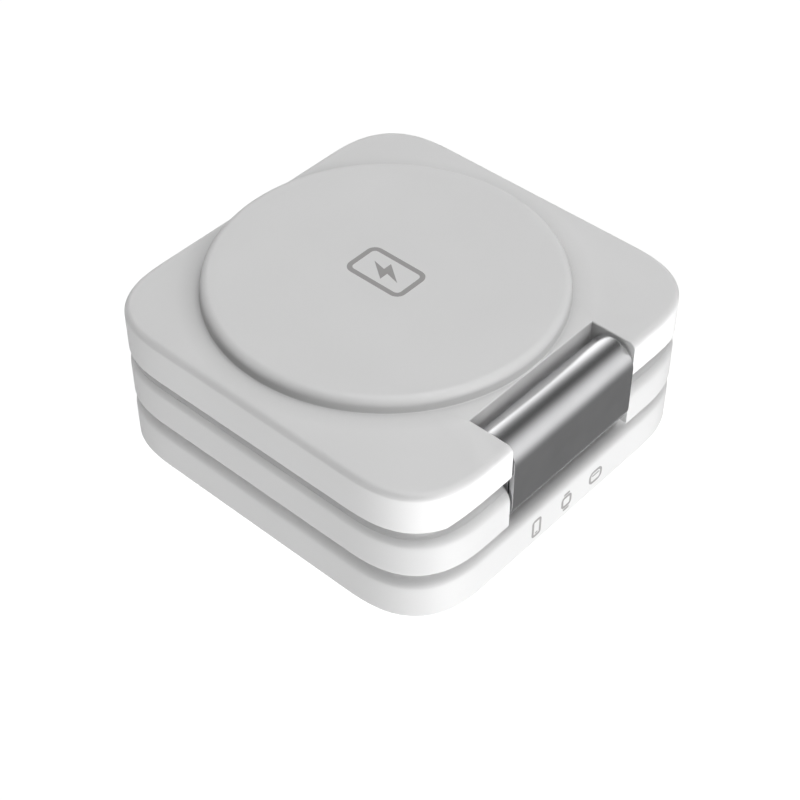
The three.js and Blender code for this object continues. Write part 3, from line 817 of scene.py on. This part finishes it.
def lid_skin(name, node, body, slot_side, cutters=()):
    """Closing cover with softened edges that fits inside the walls, less the cutters."""
    low, high = span(node)
    inset = WALL + FIT
    soft = 0.12

    def gap(x, y):
        depth, _ = edge_depth(x, y)
        return np.maximum(np.minimum(depth, slot_distance(x, y, slot_side)) - inset, 0)

    steps = soft * (1 - np.cos(quarter(3)))
    lines = [inset_ring(np.full(len(OUTLINE), inset + step)) for step in steps]
    lines += [slot_line(slot_side, inset + step, 0) for step in steps]
    keep = lambda x, y: in_plate(x, y, inset) & (slot_distance(x, y, slot_side) > inset)
    piece = planned_solid(name, lines, keep, lambda x, y: high[2] - rounding_drop(gap(x, y), soft),
                          lambda x, y: low[2] + rounding_drop(gap(x, y), soft), SHELL, 0.1)
    if cutters:
        cut(piece, *cutters)
    return finish_piece(piece, body, "white_shell", node)


def foot_beds():
    """Cutters for the four recesses that hold the feet and for the screw holes in them."""
    cutters = []
    for i in range(1, 5):
        low, high = span(f"foot_{i}")
        centre = (*((low + high) / 2)[:2], 0)
        bed = [((high[0] - low[0]) / 2 + FIT, -1), ((high[0] - low[0]) / 2 + FIT, high[2] + GLUE)]
        cutters.append(turned("bed", bed, None, centre=centre, steps=64))
        hole = [(SCREW_HOLE, -1), (SCREW_HOLE, BASE_TOP)]
        cutters.append(turned("hole", hole, None, centre=centre, steps=32))
    return cutters


# Links ----------------------------------------------------------------------------------------------

def link_skin(hinge):
    name, body = hinge["name"], f"{hinge['name']}_link"
    axis_y, lower, upper = hinge["lower"][0], hinge["lower"][1], hinge["upper"][1]
    centre = (0, axis_y, 0)
    section = rounded([(0, -LINK_END), (0, LINK_END), (-LINK_WALL, LINK_END), (-LINK_WALL, -LINK_END)],
                      LINK_BREAK * 1.5, 4)
    shell = sweep(f"{name}_hinge_sleeve", stadium(LINK_RADIUS, lower, upper), section, LINK_METAL, "x",
                  centre, closed=True)
    finish_piece(shell, body, "hinge_metal", f"{name}_link_shell")
    for word in ("left", "right"):
        node = f"{name}_link_cap_{word}"
        low, high = span(node)
        reach = LINK_RADIUS - LINK_WALL - FIT
        profile = rounded([(-1, low[0]), (0, low[0]), (0, high[0]), (-1, high[0])], 0.2, 4, closed=False)
        outline = stadium(reach, lower, upper)
        cap = sweep(f"{name}_hinge_cap_{word}", outline, profile, LINK_METAL, "x", centre)
        holes = [turned("hole", [(PIVOT_HOLE, low[0] - 1), (PIVOT_HOLE, high[0] + 1)], None, "x",
                        (0, axis_y, z), 48) for z in (lower, upper)]
        cut(cap, *holes)
        finish_piece(cap, body, "hinge_metal", node)


# Printed marks --------------------------------------------------------------------------------------

def flat_mark(name, shapes, axis, centre, body):
    """Thin printed shapes, each an outline and the holes in it."""
    points, faces = [], []
    for outline, holes in shapes:
        start = len(points)
        local, local_faces = printed_shape([outline, *holes])
        points += [tuple(p) for p in local]
        faces += [tuple(i + start for i in face) for face in local_faces]
    piece = make_piece(name, placed(points, axis, centre), faces, MARK)
    return finish_piece(piece, body, "white_shell")


def inside_loop(x, y, loop):
    """Even-odd test of points against a closed outline."""
    loop = np.asarray(loop, float)
    result = np.zeros(len(x), bool)
    for (x0, y0), (x1, y1) in zip(loop, np.roll(loop, -1, axis=0)):
        if y0 == y1:
            continue
        crosses = ((y0 > y) != (y1 > y)) & (x < (x1 - x0) * (y - y0) / (y1 - y0) + x0)
        result ^= crosses
    return result


def printed_shape(loops):
    """Points and faces of a thin plate between an outline and its holes."""
    points, edges = [], []
    for loop in loops:
        start, count = len(points), len(loop)
        points += [Vector((float(x), float(y))) for x, y in loop]
        edges += [(start + i, start + (i + 1) % count) for i in range(count)]
    flat, _, triangles, *_ = delaunay_2d_cdt(points, edges, [], 0, 1e-6, False)
    plan = np.array([tuple(p) for p in flat])
    centres = plan[np.array([tuple(t) for t in triangles])].mean(axis=1)
    keep = np.zeros(len(centres), bool)
    for loop in loops:
        keep ^= inside_loop(centres[:, 0], centres[:, 1], loop)
    kept = [tuple(t) for t, k in zip(triangles, keep) if k]
    count = len(plan)
    directed = {(a, b) for t in kept for a, b in zip(t, t[1:] + t[:1])}
    faces = [tuple(i + count for i in t) for t in kept] + [tuple(reversed(t)) for t in kept]
    faces += [(a, b, b + count, a + count) for a, b in directed if (b, a) not in directed]
    low, high = np.column_stack([plan, np.zeros(count)]), np.column_stack([plan, np.full(count, PRINT)])
    return np.concatenate([low, high]), faces


def round_box(width, height, radius, centre=(0, 0), steps=6):
    """Outline of a rounded rectangle."""
    points = []
    for turn, (sx, sy) in enumerate([(1, 1), (-1, 1), (-1, -1), (1, -1)]):
        for a in np.linspace(0, math.pi / 2, steps + 1) + turn * math.pi / 2:
            points.append((centre[0] + sx * (width / 2 - radius) + radius * math.cos(a),
                           centre[1] + sy * (height / 2 - radius) + radius * math.sin(a)))
    return points


def bolt_outline(height):
    """Lightning bolt of straight strokes."""
    unit = [(0.12, 0.5), (-0.30, -0.08), (-0.04, -0.08), (-0.14, -0.5), (0.30, 0.10), (0.04, 0.10)]
    return [(x * height, y * height) for x, y in unit]


def frame_shape(width, height, radius, stroke, centre=(0, 0)):
    """Rounded rectangle drawn as a line."""
    inner = round_box(width - 2 * stroke, height - 2 * stroke, radius - stroke, centre)
    return round_box(width, height, radius, centre), [inner]


def phone_mark():
    """Phone outline with a charging bolt, in the middle of the disc."""
    shapes = [frame_shape(7.6, 12.0, 1.7, 0.9), (bolt_outline(6.4), [])]
    flat_mark("phone_mark", shapes, "z", (0, DISC_Y, DISC_TOP - PRINT), "top")


def device_marks():
    """Row on the base's front: a phone, a watch and an earbud case."""
    stroke, gap = 0.5, 7.6
    phone = [frame_shape(2.3, 3.9, 0.65, stroke, (-gap, 0)), (round_box(0.7, 0.3, 0.14, (-gap, -1.1)), [])]
    straps = [(round_box(1.5, 0.45, 0.2, (0, side * 1.72)), []) for side in (1, -1)]
    watch = [frame_shape(2.6, 2.6, 0.8, stroke), *straps]
    case = [frame_shape(3.4, 2.8, 1.1, stroke, (gap, 0)), (round_box(1.9, 0.3, 0.14, (gap, 0.35)), [])]
    flat_mark("device_marks", phone + watch + case, "-y", (0, -HALF, MARK_HEIGHT), "base")


# Studio ---------------------------------------------------------------------------------------------

CAMERA_AZIMUTH = math.radians(-48.088)
CAMERA_ELEVATION = math.radians(43.994)
CAMERA_PLACE = (-0.16307, -0.14569, 0.21454)
CAMERA_LENS = 80.905


def add_camera():
    camera = bpy.data.objects.new("camera", bpy.data.cameras.new("camera"))
    bpy.context.scene.collection.objects.link(camera)
    camera.location = CAMERA_PLACE
    camera.rotation_euler = (math.pi / 2 - CAMERA_ELEVATION, 0, CAMERA_AZIMUTH)
    camera.data.lens = CAMERA_LENS
    camera.data.sensor_width = 36
    camera.data.clip_start = 0.01
    camera.data.clip_end = 20
    bpy.context.scene.camera = camera


FLOOR_GLOW = 2.0  # soft light from below the horizon, as a white floor throws up
SKY_GLOW = 0.0
GLOW_EDGE = (-0.35, -0.25)  # slopes below the horizon between which the one turns into the other
FLOOR_EMISSION = 0.88
FLOOR_REACH = 3000  # of the backdrop, from the object
LIGHT_DISTANCE = 0.8
DOME_RADIUS = 5000
TOP_LIGHT = {"direction": (0.04, -0.13, 0.99), "power": 4.6, "size": 0.8}
FRONT_LIGHT = {"direction": (0.0, -0.906, 0.423), "power": 2.1, "size": 0.4}
FRONT_BOUNCE = {"direction": (0.0, -0.707, -0.707), "power": 4.7, "size": 0.4}

# Radiance of the studio at angles from straight up (0) towards the front (90) and the rear (-90)
STUDIO = [(-180, 0.2), (-125, 0.2), (-110, 0.5), (-95, 1.15), (-80, 1.6), (-55, 1.6), (-45, 1.07),
          (-35, 0.66), (-25, 0.31), (-15, 0.15), (-5, 0.1), (5, 0.1), (15, 0.17), (25, 0.34), (35, 0.54),
          (45, 0.73), (55, 0.9), (65, 0.97), (75, 1.0), (85, 0.97), (95, 0.83), (105, 0.6), (115, 0.4),
          (125, 0.26), (135, 0.2), (180, 0.2)]


def add_world():
    """Soft light from below the horizon, none from above; reflections come from the banded dome instead."""
    world = bpy.data.worlds.new("studio")
    bpy.context.scene.world = world
    world.use_nodes = True
    tree = world.node_tree
    background = tree.nodes["Background"]
    background.inputs["Color"].default_value = (1.0, 1.0, 1.0, 1.0)
    direction = tree.nodes.new("ShaderNodeTexCoord")
    parts = tree.nodes.new("ShaderNodeSeparateXYZ")
    tree.links.new(direction.outputs["Generated"], parts.inputs[0])
    strength = remap(tree, parts.outputs["Z"], FLOOR_GLOW, SKY_GLOW, *GLOW_EDGE)
    tree.links.new(strength, background.inputs["Strength"])
    world.cycles_visibility.glossy = False


def only_seen_by(thing, camera=False, diffuse=False, glossy=False, shadow=False):
    thing.visible_camera = camera
    thing.visible_diffuse = diffuse
    thing.visible_glossy = glossy
    thing.visible_shadow = shadow
    thing.visible_transmission = False


def banded_light():
    """Emission in bands round the X axis, from the STUDIO table."""
    material = bpy.data.materials.new("reflected_studio")
    material.use_nodes = True
    tree = material.node_tree
    tree.nodes.clear()
    coordinates = tree.nodes.new("ShaderNodeTexCoord")
    parts = tree.nodes.new("ShaderNodeSeparateXYZ")
    tree.links.new(coordinates.outputs["Object"], parts.inputs[0])
    forward = tree.nodes.new("ShaderNodeMath")
    forward.operation = "MULTIPLY"
    forward.inputs[1].default_value = -1.0
    tree.links.new(parts.outputs["Y"], forward.inputs[0])
    angle = tree.nodes.new("ShaderNodeMath")
    angle.operation = "ARCTAN2"
    tree.links.new(forward.outputs[0], angle.inputs[0])
    tree.links.new(parts.outputs["Z"], angle.inputs[1])
    share = tree.nodes.new("ShaderNodeMapRange")
    share.inputs["From Min"].default_value = -math.pi
    share.inputs["From Max"].default_value = math.pi
    tree.links.new(angle.outputs[0], share.inputs["Value"])
    ramp = tree.nodes.new("ShaderNodeValToRGB")
    elements = ramp.color_ramp.elements
    elements.remove(elements[0])
    for k, (degrees, value) in enumerate(STUDIO):
        place = (degrees + 180) / 360
        element = elements[0] if k == 0 else elements.new(place)
        element.position = place
        element.color = (value, value, value, 1.0)
    tree.links.new(share.outputs["Result"], ramp.inputs["Fac"])
    emission = tree.nodes.new("ShaderNodeEmission")
    output = tree.nodes.new("ShaderNodeOutputMaterial")
    tree.links.new(ramp.outputs["Color"], emission.inputs["Color"])
    tree.links.new(emission.outputs[0], output.inputs["Surface"])
    return material


def add_reflected_studio():
    """Big round dome that only reflections see."""
    turns = np.linspace(0.001, math.pi - 0.001, 49)
    profile = [(DOME_RADIUS * math.sin(a), -DOME_RADIUS * math.cos(a)) for a in turns]
    dome = turned("reflected_studio", profile, banded_light(), steps=96)
    only_seen_by(dome, glossy=True)


def add_softbox(name, direction, power, size):
    """Square area light along a direction from the object, facing it; the metal doesn't reflect it."""
    light = bpy.data.lights.new(name, "AREA")
    light.size = size
    light.energy = power
    lamp = bpy.data.objects.new(name, light)
    bpy.context.scene.collection.objects.link(lamp)
    towards = Vector(direction).normalized()
    lamp.location = towards * LIGHT_DISTANCE
    lamp.rotation_euler = towards.to_track_quat("Z", "Y").to_euler()
    lamp.visible_glossy = False
    lamp.visible_camera = False
    return lamp


def shine_only_on(lamp, things):
    """Keeps a lamp to some of the pieces, and lets its gleam show on them."""
    receivers = bpy.data.collections.new(f"{lamp.name}_receivers")
    for thing in things:
        receivers.objects.link(thing)
    lamp.light_linking.receiver_collection = receivers
    lamp.visible_glossy = True


def link_lamps(top_light, front_light):
    """Top light on all but the metal; front light on the top plate alone, so that its rims stand out."""
    meshes = [thing for thing in bpy.context.scene.objects if thing.type == "MESH"]
    shine_only_on(top_light, [m for m in meshes if m.active_material not in (LINK_METAL, PLATED)])
    shine_only_on(front_light, [m for m in meshes if m.name in ("top_shell", "phone_mark")])


def add_studio_floor():
    """Pale floor that turns up into a round backdrop; it is seen, but doesn't light the object."""
    material, _, shader = new_material("studio_floor", Base_Color=(0.3, 0.3, 0.3), Roughness=1.0)
    shader.inputs["Emission Color"].default_value = (1.0, 1.0, 1.0, 1.0)
    shader.inputs["Emission Strength"].default_value = FLOOR_EMISSION
    shader.inputs["Specular IOR Level"].default_value = 0.0
    bend = FLOOR_REACH / 3
    curve = [(FLOOR_REACH - bend + bend * math.sin(a), bend - bend * math.cos(a)) for a in quarter(11)]
    profile = [(0.01, 0), (300, 0), *curve, (FLOOR_REACH, FLOOR_REACH)]
    steps = 64
    points, normals = circle(0, steps)
    rings = [np.column_stack([points + normals * r, np.full(steps, z)]) for r, z in profile]
    faces = [(k * steps + i, (k + 1) * steps + i, (k + 1) * steps + j, k * steps + j)
             for k in range(len(rings) - 1) for i, j in zip(range(steps), [*range(1, steps), 0])]
    faces.append(tuple(range(steps)))
    floor = make_piece("floor", np.concatenate(rings), faces, material)
    only_seen_by(floor, camera=True)


# Assembly -------------------------------------------------------------------------------------------

add_camera()
add_world()
add_reflected_studio()
front_light = add_softbox("front_light", **FRONT_LIGHT)
add_softbox("front_bounce", **FRONT_BOUNCE)
top_light = add_softbox("top_light", **TOP_LIGHT)
add_studio_floor()

top_skin()
tray_skin()
middle_cover_skin()
base_skin()
lid_skin("top_lid", "top_bottom_cover", "top", FRONT["side"])
lid_skin("base_lid", "base_bottom_cover", "base", REAR["side"], foot_beds())
usb_shell()
earbud_pad()
feet()
watch_puck()
for hinge in (REAR, FRONT):
    link_skin(hinge)
phone_mark()
device_marks()

COIL_CENTRES = {"earbud_coil": 0.0, "watch_coil": 0.0, "phone_coil": DISC_Y}
COPPER = (0.72, 0.36, 0.17)
WIRE_PITCH = 0.6
NODE_MATERIALS = {"board": BOARD, "chip": CHIP, "tongue": CHIP, "ferrite": FERRITE, "flex": FLEX}


def dress_cad_nodes():
    """Procedural materials for the CAD nodes that stay in view or inside."""
    coils = {name: wound_wire(f"{name}_wire", COPPER, WIRE_PITCH, y) for name, y in COIL_CENTRES.items()}
    for name, node in frame["nodes"].items():
        if node.hide_render:
            continue
        material = coils.get(name)
        if material is None:
            material = next((m for word, m in NODE_MATERIALS.items() if word in name), PLATED)
        if not node.data.materials:
            node.data.materials.append(material)
        for material_slot in node.material_slots:
            material_slot.material = material


dress_cad_nodes()
link_lamps(top_light, front_light)

bpy.context.scene.view_settings.view_transform = "Standard"
